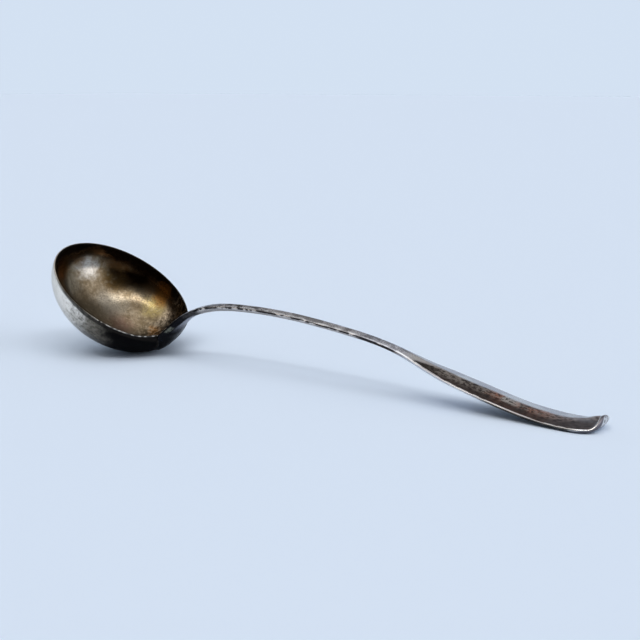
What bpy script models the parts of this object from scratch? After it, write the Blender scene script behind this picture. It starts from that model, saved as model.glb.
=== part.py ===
"""Silver ladle at rest: a raised bowl, a forged handle lapped on its back, and the solder seam.

The ladle lies as it does on a table: the bowl sits on the worn flat under its belly, the handle
arches over and comes down on the turned-up end. +X runs from the bowl to the end of the handle,
the XZ plane is the plane of symmetry, and Z = 0 is the table.
"""
import math

import bmesh
import bpy
from mathutils import Euler
from mathutils import Vector

MM = 0.001

# Bowl: half of an ellipsoid, leaning towards the handle.
BOWL_HALF_WIDTH = 45.0 * MM
BOWL_OVALITY = 1.08
BOWL_DEPTH = 33.2 * MM
BOWL_LEAN = math.radians(33.9)
WALL = 1.2 * MM
COLLAR = 9.0 * MM
LIP_RADIUS = 0.4 * MM
BOWL_CENTRE_X = -144.3 * MM
BOWL_STEPS = 96
PROFILE_STEPS = 20

# Rim: flat all round, then swept up to meet the root of the handle.
RIM_LIFT_START = 39.5 * MM
RIM_LIFT_END = 50.0 * MM
RIM_LIFT = 4.6 * MM

# Fit between the soldered pieces, and the depth worn off where the ladle touches the table.
GAP = 0.3 * MM
WEAR = 0.22 * MM

# Handle: the heel under the bowl. Angle down from the rim in degrees, then in millimetres the
# width, the thickness of the edge and the belly below it.
HEEL = (
    (22.0, 11.0, 1.7, 0.8),
    (15.0, 12.0, 1.6, 1.1),
    (8.0, 13.8, 1.5, 1.4),
    (2.0, 18.0, 1.3, 1.9),
)
HEEL_ROUND = 6.0 * MM
FLUSH = 1.5 * MM

# Handle: the shoulder where it meets the rim.
SHOULDER_RISE = 3.2 * MM
SHOULDER = (23.4 * MM, 0.0, 1.3 * MM, 2.6 * MM)

# Handle sections from the rim to the turned-up end, in millimetres: distance from the middle of
# the bowl, height of the edges, width, rise of the ridge, thickness of the edge, belly below it.
SECTIONS = (
    (44.6, 19.4, 17.8, 0.0, 2.8, 2.2),
    (49.2, 24.5, 13.0, 0.0, 3.9, 1.1),
    (58.5, 30.5, 9.8, 0.1, 3.3, 0.8),
    (70.0, 34.9, 8.4, 0.4, 3.1, 0.9),
    (86.0, 37.8, 8.0, 0.7, 2.9, 0.9),
    (108.0, 38.6, 7.8, 0.8, 2.6, 0.9),
    (128.0, 38.2, 7.9, 0.9, 2.6, 0.9),
    (150.0, 36.6, 8.2, 1.0, 2.5, 0.9),
    (187.0, 32.0, 8.4, 1.0, 2.3, 0.9),
    (206.0, 28.1, 8.8, 1.1, 2.1, 0.8),
    (218.0, 24.5, 10.2, 1.2, 2.0, 0.7),
    (231.0, 20.1, 14.6, 1.4, 1.8, 0.5),
    (244.0, 16.2, 19.8, 1.6, 1.7, 0.4),
    (258.0, 12.4, 22.4, 1.6, 1.6, 0.4),
    (286.0, 5.6, 23.4, 1.4, 1.6, 0.5),
    (303.0, 3.0, 25.4, 1.1, 1.6, 0.7),
    (315.0, 2.3, 26.4, 0.9, 1.6, 0.9),
)

# Handle: the turned-up end, an arc of the face that goes past upright, with a rounded outline.
TIP_X = 327.6 * MM
TIP_Z = 2.5 * MM
TIP_RADIUS = 3.5 * MM
TIP_START = math.radians(4.0)
TIP_END = math.radians(118.0)
TIP_WIDTH = 26.4 * MM
TIP_ROUND = 13.0 * MM
TIP_POWER = 1.75
TIP_STATIONS = 7

# Handle: the left corner of the broad end, curled up a little more than the right one.
CURL_START = 317.0 * MM
CURL_END = 329.0 * MM
CURL = 2.8 * MM

STEM_RINGS = 6
SECTION_STEPS = 10

# Solder seam round the heel.
SEAM_RADIUS = 0.45 * MM
SEAM_START = math.radians(1.0)


def make_collection(name, hidden=False):
    """Add a collection to the scene."""
    group = bpy.data.collections.new(name)
    bpy.context.scene.collection.children.link(group)
    group.hide_render = hidden
    return group


def make_material(name, colour, metallic, roughness):
    """Make a Principled material."""
    mat = bpy.data.materials.new(name)
    mat.use_nodes = True
    node = mat.node_tree.nodes["Principled BSDF"]
    node.inputs["Base Color"].default_value = colour
    node.inputs["Metallic"].default_value = metallic
    node.inputs["Roughness"].default_value = roughness
    mat.diffuse_color = colour
    return mat


def add_object(name, data, group, mat=None):
    """Place data in the scene as a named object."""
    obj = bpy.data.objects.new(name, data)
    group.objects.link(obj)
    if mat is not None:
        data.materials.append(mat)
    return obj


def as_cutter(obj):
    """Show a cutter as wire only."""
    obj.display_type = "WIRE"
    obj.hide_render = True
    return obj


def boolean(obj, cutter, name):
    """Take a cutter away from an object."""
    mod = obj.modifiers.new(name, "BOOLEAN")
    mod.operation = "DIFFERENCE"
    mod.solver = "EXACT"
    mod.object = cutter


def smooth(mesh, angle):
    """Shade smooth, with creases kept sharp."""
    mesh.shade_smooth()
    mesh.set_sharp_from_angle(angle=angle)


def lowest_point():
    """Height of the middle of the rim above the lowest point of the bowl."""
    along = BOWL_HALF_WIDTH * BOWL_OVALITY * math.sin(BOWL_LEAN)
    down = BOWL_DEPTH * math.cos(BOWL_LEAN)
    return math.hypot(along, down)


BOWL_CENTRE = Vector((BOWL_CENTRE_X, 0.0, lowest_point() - WEAR))
BOWL_TURN = Euler((0.0, BOWL_LEAN, 0.0))
FORWARD = Vector((math.cos(BOWL_LEAN), 0.0, -math.sin(BOWL_LEAN)))
UPWARD = Vector((math.sin(BOWL_LEAN), 0.0, math.cos(BOWL_LEAN)))


def place_on_bowl(obj, stretch=1.0):
    """Set an object made about the middle of the rim into its leaning place."""
    obj.location = BOWL_CENTRE
    obj.rotation_euler = BOWL_TURN
    obj.scale = (stretch, 1.0, 1.0)
    return obj


def turned(name, outline, group, mat=None):
    """Turn an outline of (radius, height) pairs about Z."""
    mesh = bpy.data.meshes.new(name)
    verts = [(radius, 0.0, height) for radius, height in outline]
    edges = [(i, i + 1) for i in range(len(verts) - 1)]
    mesh.from_pydata(verts, edges, [])
    obj = add_object(name, mesh, group, mat)
    screw = obj.modifiers.new("Turn", "SCREW")
    screw.axis = "Z"
    screw.angle = math.tau
    screw.steps = BOWL_STEPS
    screw.render_steps = BOWL_STEPS
    screw.use_merge_vertices = True
    screw.merge_threshold = 0.00001
    screw.use_smooth_shade = True
    screw.use_normal_calculate = True
    return obj


def quarter(radius, depth):
    """Quarter of an ellipse from the rim down to the axis."""
    points = []
    for i in range(PROFILE_STEPS + 1):
        angle = 0.5 * math.pi * i / PROFILE_STEPS
        points.append((radius * math.cos(angle), -depth * math.sin(angle)))
    points[-1] = (0.0, -depth)
    return points


def rim_line(raise_by):
    """Side view of the rim: flat, then a parabola up to the handle."""
    points = [(-70.0 * MM, raise_by)]
    for i in range(13):
        part = i / 12.0
        x = RIM_LIFT_START + (RIM_LIFT_END - RIM_LIFT_START) * part
        points.append((x, RIM_LIFT * part * part + raise_by))
    points.append((70.0 * MM, 2.0 * COLLAR))
    return points


def rim_cutter(name, raise_by, group):
    """Block that trims everything above the rim."""
    points = rim_line(raise_by)
    points.append((70.0 * MM, 60.0 * MM))
    points.append((-70.0 * MM, 60.0 * MM))
    bm = bmesh.new()
    verts = [bm.verts.new((x, -60.0 * MM, z)) for x, z in points]
    face = bm.faces.new(verts)
    grown = bmesh.ops.extrude_face_region(bm, geom=[face])
    moved = [item for item in grown["geom"] if isinstance(item, bmesh.types.BMVert)]
    bmesh.ops.translate(bm, verts=moved, vec=(0.0, 120.0 * MM, 0.0))
    bmesh.ops.recalc_face_normals(bm, faces=bm.faces)
    mesh = bpy.data.meshes.new(name)
    bm.to_mesh(mesh)
    bm.free()
    return place_on_bowl(as_cutter(add_object(name, mesh, group)))


def table_cutter(group):
    """Block below the table, for the worn flats."""
    bm = bmesh.new()
    bmesh.ops.create_cube(bm, size=1.0)
    bmesh.ops.scale(bm, verts=bm.verts, vec=(0.5, 0.2, 0.01))
    bmesh.ops.translate(bm, verts=bm.verts, vec=(0.0, 0.0, -0.005))
    mesh = bpy.data.meshes.new("table_cutter")
    bm.to_mesh(mesh)
    bm.free()
    return as_cutter(add_object("table_cutter", mesh, group))


def build_bowl(group, cutters, mat, table):
    """Raised sheet bowl: turned inside and out, trimmed at the rim, lip rounded."""
    outer = quarter(BOWL_HALF_WIDTH, BOWL_DEPTH)
    inner = quarter(BOWL_HALF_WIDTH - WALL, BOWL_DEPTH - WALL)
    outline = [(BOWL_HALF_WIDTH - WALL, COLLAR), (BOWL_HALF_WIDTH, COLLAR)]
    outline = list(reversed(inner)) + outline + outer
    bowl = place_on_bowl(turned("bowl", outline, group, mat), BOWL_OVALITY)
    boolean(bowl, rim_cutter("rim_cutter", 0.0, cutters), "Rim")
    lip = bowl.modifiers.new("Lip", "BEVEL")
    lip.width = LIP_RADIUS
    lip.segments = 2
    lip.limit_method = "ANGLE"
    lip.angle_limit = math.radians(50.0)
    boolean(bowl, table, "Worn flat")
    return bowl


def wall_point(angle, inset=0.0):
    """Point on the back of the bowl in the plane of symmetry, angle below the rim."""
    along = (BOWL_HALF_WIDTH * BOWL_OVALITY - inset) * math.cos(angle)
    down = (BOWL_DEPTH - inset) * math.sin(angle)
    return BOWL_CENTRE + FORWARD * along - UPWARD * down


def heel_stations():
    """Sections of the heel, from the rounded end of the tongue up to the shoulder."""
    stations = []
    for degrees, width, edge, belly in HEEL:
        spot = wall_point(math.radians(degrees), FLUSH)
        stations.append((spot.x, spot.z, width * MM, 0.0, edge * MM, belly * MM))
    spot = wall_point(0.0, FLUSH) + UPWARD * SHOULDER_RISE
    stations.append((spot.x, spot.z) + SHOULDER)
    return stations


def stem_stations():
    """Sections of the stem and of the broad end."""
    stations = []
    for x, z, width, ridge, edge, belly in SECTIONS:
        row = (x * MM + BOWL_CENTRE_X, z * MM, width * MM, ridge * MM, edge * MM, belly * MM)
        stations.append(row)
    return stations


def tip_stations():
    """Sections of the turned-up end, on an arc."""
    stations = []
    for i in range(TIP_STATIONS):
        part = i / (TIP_STATIONS - 1)
        angle = TIP_START + (TIP_END - TIP_START) * part
        x = TIP_X + BOWL_CENTRE_X + TIP_RADIUS * (math.sin(angle) - math.sin(TIP_START))
        z = TIP_Z + TIP_RADIUS * (math.cos(TIP_START) - math.cos(angle))
        ridge = (0.8 - 0.3 * part) * MM
        edge = (1.6 + 0.2 * part) * MM
        belly = (0.7 - 0.4 * part) * MM
        stations.append((x, z, TIP_WIDTH, ridge, edge, belly))
    return stations


def corner_curl(x, across):
    """How far the left corner of the broad end is curled up."""
    part = (x - BOWL_CENTRE_X - CURL_START) / (CURL_END - CURL_START)
    part = min(max(part, 0.0), 1.0)
    part = part * part * (3.0 - 2.0 * part)
    return CURL * part * (max(across, 0.0) / (0.5 * TIP_WIDTH)) ** 2


def spline(stations, rings):
    """Centripetal curve through the stations, rings sections to each interval."""
    knots = [0.0]
    for first, second in zip(stations, stations[1:]):
        knots.append(knots[-1] + math.hypot(second[0] - first[0], second[1] - first[1]))
    last = len(stations) - 1
    slopes = []
    for i in range(last + 1):
        low = max(i - 1, 0)
        high = min(i + 1, last)
        run = knots[high] - knots[low]
        slopes.append([(b - a) / run for a, b in zip(stations[low], stations[high])])
    result = []
    for i in range(last):
        run = knots[i + 1] - knots[i]
        for j in range(rings):
            t = j / rings
            h00 = (1.0 + 2.0 * t) * (1.0 - t) ** 2
            h10 = t * (1.0 - t) ** 2
            h01 = t * t * (3.0 - 2.0 * t)
            h11 = t * t * (t - 1.0)
            row = []
            for a, b, m, n in zip(stations[i], stations[i + 1], slopes[i], slopes[i + 1]):
                row.append(h00 * a + h10 * run * m + h01 * b + h11 * run * n)
            result.append(tuple(row))
    result.append(stations[-1])
    return result


def round_ends(rows):
    """Narrow both ends of the forging to rounded outlines."""
    lengths = [0.0]
    for first, second in zip(rows, rows[1:]):
        lengths.append(lengths[-1] + math.hypot(second[0] - first[0], second[1] - first[1]))
    total = lengths[-1]
    narrowed = []
    for row, run in zip(rows, lengths):
        width = row[2]
        for distance, reach, power in ((run, HEEL_ROUND, 2.0), (total - run, TIP_ROUND, TIP_POWER)):
            if distance < reach:
                part = 1.0 - distance / reach
                width *= max(1.0 - part ** power, 0.004) ** (1.0 / power)
        narrowed.append((row[0], row[1], width) + tuple(row[3:]))
    return narrowed


def section(width, ridge, edge, belly):
    """Outline across the handle: ridged face, round edges, full back."""
    half = 0.5 * width
    bead = min(0.5 * edge, 0.45 * half)
    points = []
    for i in range(SECTION_STEPS + 1):
        part = 1.0 - 2.0 * i / SECTION_STEPS
        points.append((part * (half - bead), ridge * (1.0 - abs(part) ** 1.4)))
    for i in range(1, 4):
        angle = 0.5 * math.pi + 0.25 * math.pi * i
        reach = bead * math.cos(angle)
        points.append((reach - half + bead, -0.5 * edge * (1.0 - math.sin(angle))))
    for i in range(SECTION_STEPS + 1):
        part = -1.0 + 2.0 * i / SECTION_STEPS
        points.append((part * (half - bead), -edge - belly * (1.0 - part * part)))
    for i in range(1, 4):
        angle = -0.5 * math.pi + 0.25 * math.pi * i
        reach = bead * math.cos(angle)
        points.append((reach + half - bead, -0.5 * edge * (1.0 - math.sin(angle))))
    return points


def build_handle(group, mat, clearance, table):
    """Forged handle, lofted from the heel to the turned-up end."""
    rows = spline(heel_stations() + stem_stations() + tip_stations(), STEM_RINGS)
    rows = round_ends(rows)
    bm = bmesh.new()
    rings = []
    for i, (x, z, width, ridge, edge, belly) in enumerate(rows):
        before = rows[max(i - 1, 0)]
        after = rows[min(i + 1, len(rows) - 1)]
        along = Vector((after[0] - before[0], 0.0, after[1] - before[1])).normalized()
        face = Vector((-along.z, 0.0, along.x))
        ring = []
        for across, up in section(width, ridge, edge, belly):
            spot = Vector((x, across, z + corner_curl(x, across))) + face * up
            ring.append(bm.verts.new(spot))
        rings.append(ring)
    count = len(rings[0])
    for first, second in zip(rings, rings[1:]):
        for i in range(count):
            j = (i + 1) % count
            bm.faces.new((first[i], first[j], second[j], second[i]))
    bm.faces.new(rings[0])
    bm.faces.new(list(reversed(rings[-1])))
    bmesh.ops.recalc_face_normals(bm, faces=bm.faces)
    mesh = bpy.data.meshes.new("handle")
    bm.to_mesh(mesh)
    bm.free()
    smooth(mesh, math.radians(40.0))
    handle = add_object("handle", mesh, group, mat)
    boolean(handle, clearance, "Lap on bowl")
    boolean(handle, table, "Worn flat")
    return handle


def build_clearance(cutters):
    """Bowl made larger by the fitting gap, for cutting the lap in the handle."""
    outline = [(0.0, COLLAR), (BOWL_HALF_WIDTH + GAP, COLLAR)]
    outline += quarter(BOWL_HALF_WIDTH + GAP, BOWL_DEPTH + GAP)
    solid = turned("bowl_clearance", outline, cutters)
    place_on_bowl(as_cutter(solid), BOWL_OVALITY)
    boolean(solid, rim_cutter("rim_clearance", GAP, cutters), "Rim")
    return solid


def heel_half_width(angle):
    """Half the width of the heel at an angle below the rim."""
    rows = spline(heel_stations(), STEM_RINGS)
    spot = wall_point(angle, FLUSH)
    best = min(rows, key=lambda row: math.hypot(row[0] - spot.x, row[1] - spot.z))
    return 0.5 * best[2]


def build_seam(group, mat):
    """Solder seam: a slim bead in the corner between the heel and the bowl."""
    offset = GAP + SEAM_RADIUS
    metre_per_radian = 38.5 * MM
    heel_end = math.radians(HEEL[0][0])
    side = []
    for i in range(15):
        angle = SEAM_START + (heel_end - HEEL_ROUND / metre_per_radian) * i / 14.0
        side.append((angle, heel_half_width(angle) + offset))
    turn = side[-1][0]
    reach = HEEL_ROUND + offset
    for i in range(1, 9):
        bend = 0.5 * math.pi * i / 8.0
        angle = turn + reach * math.sin(bend) / metre_per_radian
        side.append((angle, side[14][1] * math.cos(bend)))
    outline = [(angle, across) for angle, across in side]
    outline += [(angle, -across) for angle, across in reversed(side[:-1])]
    curve = bpy.data.curves.new("solder_seam", "CURVE")
    curve.dimensions = "3D"
    curve.bevel_depth = SEAM_RADIUS
    curve.bevel_resolution = 2
    curve.use_fill_caps = True
    path = curve.splines.new("POLY")
    path.points.add(len(outline) - 1)
    long = BOWL_HALF_WIDTH * BOWL_OVALITY
    wide = BOWL_HALF_WIDTH
    deep = BOWL_DEPTH
    for point, (angle, across) in zip(path.points, outline):
        down = deep * math.sin(angle)
        along = long * math.sqrt(1.0 - (across / wide) ** 2 - (down / deep) ** 2)
        away = Vector((along / long ** 2, across / wide ** 2, -down / deep ** 2)).normalized()
        spot = Vector((along, across, -down)) + away * offset
        place = BOWL_CENTRE + FORWARD * spot.x + Vector((0.0, spot.y, 0.0)) + UPWARD * spot.z
        point.co = (place.x, place.y, place.z, 1.0)
    return add_object("solder_seam", curve, group, mat)


def main():
    """Build the ladle."""
    for obj in list(bpy.data.objects):
        bpy.data.objects.remove(obj, do_unlink=True)
    ladle = make_collection("ladle")
    cutters = make_collection("ladle_cutters", hidden=True)
    raised = make_material("bowl_silver", (0.47, 0.44, 0.39, 1.0), 1.0, 0.34)
    forged = make_material("handle_silver", (0.44, 0.41, 0.38, 1.0), 1.0, 0.30)
    solder = make_material("silver_solder", (0.36, 0.34, 0.31, 1.0), 1.0, 0.45)
    table = table_cutter(cutters)
    build_bowl(ladle, cutters, raised, table)
    build_handle(ladle, forged, build_clearance(cutters), table)
    build_seam(ladle, solder)


main()
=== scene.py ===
"""The silver ladle as it is seen: worn, tarnished, with the rubbed remains of a gilt lining."""

import math

import bmesh
import bpy
from mathutils import Euler
from mathutils import Matrix
from mathutils import Vector
from mathutils import noise


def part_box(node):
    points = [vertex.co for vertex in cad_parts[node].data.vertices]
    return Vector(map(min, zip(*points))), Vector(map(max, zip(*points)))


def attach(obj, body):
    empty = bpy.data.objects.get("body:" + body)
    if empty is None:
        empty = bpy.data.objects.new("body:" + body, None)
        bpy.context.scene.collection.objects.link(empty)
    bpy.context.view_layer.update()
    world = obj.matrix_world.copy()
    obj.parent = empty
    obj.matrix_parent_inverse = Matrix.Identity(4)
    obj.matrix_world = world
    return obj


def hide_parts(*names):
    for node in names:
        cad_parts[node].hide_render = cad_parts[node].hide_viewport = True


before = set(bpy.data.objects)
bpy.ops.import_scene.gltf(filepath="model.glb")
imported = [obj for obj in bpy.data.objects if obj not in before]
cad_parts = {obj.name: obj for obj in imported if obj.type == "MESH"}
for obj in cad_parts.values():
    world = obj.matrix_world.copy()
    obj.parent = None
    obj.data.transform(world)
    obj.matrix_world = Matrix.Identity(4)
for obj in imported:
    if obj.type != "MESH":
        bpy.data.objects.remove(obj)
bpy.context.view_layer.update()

MM = 0.001

# Sizes repeated from the CAD source, in metres.
BOWL_HALF_WIDTH = 45.0 * MM
BOWL_OVALITY = 1.08
BOWL_DEPTH = 33.2 * MM
BOWL_LEAN = math.radians(33.9)
WALL = 1.2 * MM
WEAR = 0.22 * MM
RIM_LIFT_START = 39.5 * MM
RIM_LIFT_END = 50.0 * MM
RIM_LIFT = 4.6 * MM
FLUSH = 1.5 * MM
TIP_X = 327.6 * MM
TIP_Z = 2.5 * MM
TIP_RADIUS = 3.5 * MM
TIP_START = math.radians(4.0)
TIP_END = math.radians(118.0)
TIP_ROUND = 13.0 * MM
TIP_POWER = 1.75
CURL_START = 317.0 * MM
CURL_END = 329.0 * MM
CURL = 2.8 * MM
HEEL_ROUND = 6.0 * MM

# Sections of the handle, in millimetres.
# Heel: degrees below the rim, width, edge, belly.
HEEL = (
    (22.0, 11.0, 1.7, 0.8),
    (15.0, 12.0, 1.6, 1.1),
    (8.0, 13.8, 1.5, 1.4),
    (2.0, 18.0, 1.3, 1.9),
)
# Where it passes the rim: height above the rim, width, edge, belly.
PASS = (3.2, 23.4, 1.3, 2.6)
# Stem and broad end: distance from the bowl's centre, height, width, ridge, edge, belly.
STEM = (
    (44.6, 19.4, 17.8, 0.0, 2.8, 2.2),
    (49.2, 24.5, 13.0, 0.0, 3.9, 1.1),
    (58.5, 30.5, 9.8, 0.1, 3.3, 0.8),
    (70.0, 34.9, 8.4, 0.4, 3.1, 0.9),
    (86.0, 37.8, 8.0, 0.7, 2.9, 0.9),
    (108.0, 38.6, 7.8, 0.8, 2.6, 0.9),
    (128.0, 38.2, 7.9, 0.9, 2.6, 0.9),
    (150.0, 36.6, 8.2, 1.0, 2.5, 0.9),
    (187.0, 32.0, 8.4, 1.0, 2.3, 0.9),
    (206.0, 28.1, 8.8, 1.1, 2.1, 0.8),
    (218.0, 24.5, 10.2, 1.2, 2.0, 0.7),
    (231.0, 20.1, 14.6, 1.4, 1.8, 0.5),
    (244.0, 16.2, 19.8, 1.6, 1.7, 0.4),
    (258.0, 12.4, 22.4, 1.6, 1.6, 0.4),
    (286.0, 5.6, 23.4, 1.4, 1.6, 0.5),
    (303.0, 3.0, 25.4, 1.1, 1.6, 0.7),
    (315.0, 2.3, 26.4, 0.9, 1.6, 0.9),
)
# Turned-up end: width, then ridge, edge and belly at its start and how much each changes.
TIP_WIDTH = 26.4
TIP_RIDGE = (0.8, -0.3)
TIP_EDGE = (1.6, 0.2)
TIP_BELLY = (0.7, -0.4)

ALONG = BOWL_HALF_WIDTH * BOWL_OVALITY
BOWL_REACH = math.hypot(ALONG * math.cos(BOWL_LEAN), BOWL_DEPTH * math.sin(BOWL_LEAN))
BOWL_CENTRE_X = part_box("bowl")[0][0] + BOWL_REACH
BOWL_HEIGHT = math.hypot(ALONG * math.sin(BOWL_LEAN), BOWL_DEPTH * math.cos(BOWL_LEAN)) - WEAR
BOWL_CENTRE = Vector((BOWL_CENTRE_X, 0.0, BOWL_HEIGHT))
BOWL_PLACE = Matrix.Translation(BOWL_CENTRE) @ Euler((0.0, BOWL_LEAN, 0.0)).to_matrix().to_4x4()
FORWARD = Vector((math.cos(BOWL_LEAN), 0.0, -math.sin(BOWL_LEAN)))
UPWARD = Vector((math.sin(BOWL_LEAN), 0.0, math.cos(BOWL_LEAN)))

# How fine the meshes are.
GRID = 64
LIP_STEPS = 7
ROUND_STEPS = 4
HALF_STEPS = 10
HEEL_STEPS = 12
TIP_STEPS = 22
TIP_ROWS = 7
SPACING = 1.1 * MM

# Small shapes that the CAD solids don't have.
TABLE_GAP = 0.02 * MM
BOWL_WAVE = 0.03 * MM
HANDLE_WAVE = 0.035 * MM
WAVE_START = 10.0 * MM
SLOW_WAVE = 55.0
QUICK_WAVE = 130.0
CALM_BORDER = 0.12
LIP_HEIGHT = 1.1
# Least share of the width, kept at both ends of the handle so that no face closes up.
NARROWEST = 0.0009
# Angle below the rim, in radians, at which its lift has died out.
LIFT_FADE = 0.2


# ---------------------------------------------------------------- mesh helpers


def smoothstep(low, high, value):
    """0 below low, 1 above high, smooth between."""
    t = min(max((value - low) / (high - low), 0.0), 1.0)
    return t * t * (3.0 - 2.0 * t)


def finish_mesh(name, verts, faces, place, attributes, material, node):
    """Make a piece from vertices and faces, with its point attributes, and ride it on the root."""
    mesh = bpy.data.meshes.new(name)
    mesh.from_pydata([tuple(place @ Vector(v)) for v in verts], [], faces)
    mesh.validate()
    for key, values in attributes.items():
        layer = mesh.attributes.new(key, "FLOAT", "POINT")
        layer.data.foreach_set("value", values)
    bm = bmesh.new()
    bm.from_mesh(mesh)
    bmesh.ops.recalc_face_normals(bm, faces=bm.faces)
    bm.to_mesh(mesh)
    bm.free()
    mesh.shade_smooth()
    mesh.materials.append(material)
    piece = bpy.data.objects.new(name, mesh)
    bpy.context.scene.collection.objects.link(piece)
    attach(piece, "root")
    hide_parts(node)
    return piece


def skin(rings):
    """Quads between each ring of vertices and the next."""
    count = len(rings[0])
    faces = []
    for first, second in zip(rings, rings[1:]):
        for i in range(count):
            j = (i + 1) % count
            faces.append((first[i], first[j], second[j], second[i]))
    return faces


def planish(point, strength):
    """Slow unevenness left by raising and by years of use."""
    slow = noise.noise(point * SLOW_WAVE)
    quick = noise.noise(point * QUICK_WAVE + Vector((3.1, 0.0, 0.0)))
    return (slow + 0.5 * quick) * strength


def rim_lift(x):
    """How far the rim rises above its plane at a distance towards the handle."""
    part = (x - RIM_LIFT_START) / (RIM_LIFT_END - RIM_LIFT_START)
    return RIM_LIFT * part * part if part > 0.0 else 0.0


def bowl_normal(x, y, z):
    """Direction straight out of the bowl's ellipsoid."""
    return Vector((x / ALONG ** 2, y / BOWL_HALF_WIDTH ** 2, z / BOWL_DEPTH ** 2)).normalized()


# ---------------------------------------------------------------- bowl


def disc(s, t):
    """Square to disc, keeping the areas alike."""
    if abs(s) < 1e-9 and abs(t) < 1e-9:
        return 0.0, 0.0
    if abs(s) > abs(t):
        radius = s
        turn = 0.25 * math.pi * t / s
    else:
        radius = t
        turn = 0.5 * math.pi - 0.25 * math.pi * s / t
    return radius * math.cos(turn), radius * math.sin(turn)


def bowl_point(s, t, inset):
    """Point of the bowl's surface, inset into the wall, from a place on the unit square."""
    x, y = disc(s, t)
    reach = min(math.hypot(x, y), 1.0)
    turn = math.atan2(y, x)
    angle = 0.5 * math.pi * (1.0 - reach)
    wide = BOWL_HALF_WIDTH - inset
    deep = BOWL_DEPTH - inset
    px = wide * BOWL_OVALITY * math.cos(angle) * math.cos(turn)
    py = wide * math.cos(angle) * math.sin(turn)
    pz = -deep * math.sin(angle)
    near_rim = max(1.0 - angle / LIFT_FADE, 0.0) ** 2
    return Vector((px, py, pz + rim_lift(px / wide * BOWL_HALF_WIDTH) * near_rim))


def build_bowl(material):
    """Bowl of clean quads: outside, inside, and a rounded lip between them."""
    verts = []
    inside = []
    faces = []
    count = GRID + 1
    for layer, inset in enumerate((0.0, WALL)):
        for i in range(count):
            for j in range(count):
                s = 2.0 * i / GRID - 1.0
                t = 2.0 * j / GRID - 1.0
                point = bowl_point(s, t, inset)
                away = bowl_normal(point.x, point.y, min(point.z, 0.0))
                calm = smoothstep(0.0, CALM_BORDER, 1.0 - max(abs(s), abs(t)))
                point += away * planish(point, BOWL_WAVE) * calm
                verts.append(tuple(point))
                inside.append(float(layer))
        base = layer * count * count
        for i in range(GRID):
            for j in range(GRID):
                a = base + i * count + j
                quad = (a, a + count, a + count + 1, a + 1)
                faces.append(quad if layer else tuple(reversed(quad)))
    border = [(i, 0) for i in range(GRID)]
    border += [(GRID, j) for j in range(GRID)]
    border += [(i, GRID) for i in range(GRID, 0, -1)]
    border += [(0, j) for j in range(GRID, 0, -1)]
    outer = [i * count + j for i, j in border]
    inner = [count * count + k for k in outer]
    rings = [outer]
    for step in range(1, LIP_STEPS):
        angle = math.pi * step / LIP_STEPS
        ring = []
        for a, b in zip(outer, inner):
            first = Vector(verts[a])
            second = Vector(verts[b])
            middle = 0.5 * (first + second)
            spread = 0.5 * (first - second)
            point = middle + spread * math.cos(angle)
            point.z += spread.length * math.sin(angle) * LIP_HEIGHT
            ring.append(len(verts))
            verts.append(tuple(point))
            inside.append(step / LIP_STEPS)
        rings.append(ring)
    rings.append(inner)
    faces += skin(rings)
    back = BOWL_PLACE.inverted()
    for k, vert in enumerate(verts):
        spot = BOWL_PLACE @ Vector(vert)
        if spot.z < TABLE_GAP:
            spot.z = TABLE_GAP
            verts[k] = tuple(back @ spot)
    return finish_mesh("ladle_bowl", verts, faces, BOWL_PLACE, {"inside": inside},
                       material, "bowl")


# ---------------------------------------------------------------- handle


def wall_point(angle, inset):
    """Point on the back of the bowl in the plane of symmetry, angle below the rim."""
    along = (ALONG - inset) * math.cos(angle)
    down = (BOWL_DEPTH - inset) * math.sin(angle)
    return BOWL_CENTRE + FORWARD * along - UPWARD * down


def stations():
    """Sections of the handle from the heel to the tip: x, z, width, ridge, edge, belly."""
    rows = []
    for degrees, width, edge, belly in HEEL:
        spot = wall_point(math.radians(degrees), FLUSH)
        rows.append((spot.x, spot.z, width * MM, 0.0, edge * MM, belly * MM))
    height, width, edge, belly = PASS
    spot = wall_point(0.0, FLUSH) + UPWARD * height * MM
    rows.append((spot.x, spot.z, width * MM, 0.0, edge * MM, belly * MM))
    for row in STEM:
        rest = [value * MM for value in row[1:]]
        rows.append((row[0] * MM + BOWL_CENTRE_X, *rest))
    for i in range(TIP_ROWS):
        part = i / (TIP_ROWS - 1)
        angle = TIP_START + (TIP_END - TIP_START) * part
        x = TIP_X + BOWL_CENTRE_X + TIP_RADIUS * (math.sin(angle) - math.sin(TIP_START))
        z = TIP_Z + TIP_RADIUS * (math.cos(TIP_START) - math.cos(angle))
        rest = [(start + change * part) * MM for start, change in (TIP_RIDGE, TIP_EDGE, TIP_BELLY)]
        rows.append((x, z, TIP_WIDTH * MM, *rest))
    return rows


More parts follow.
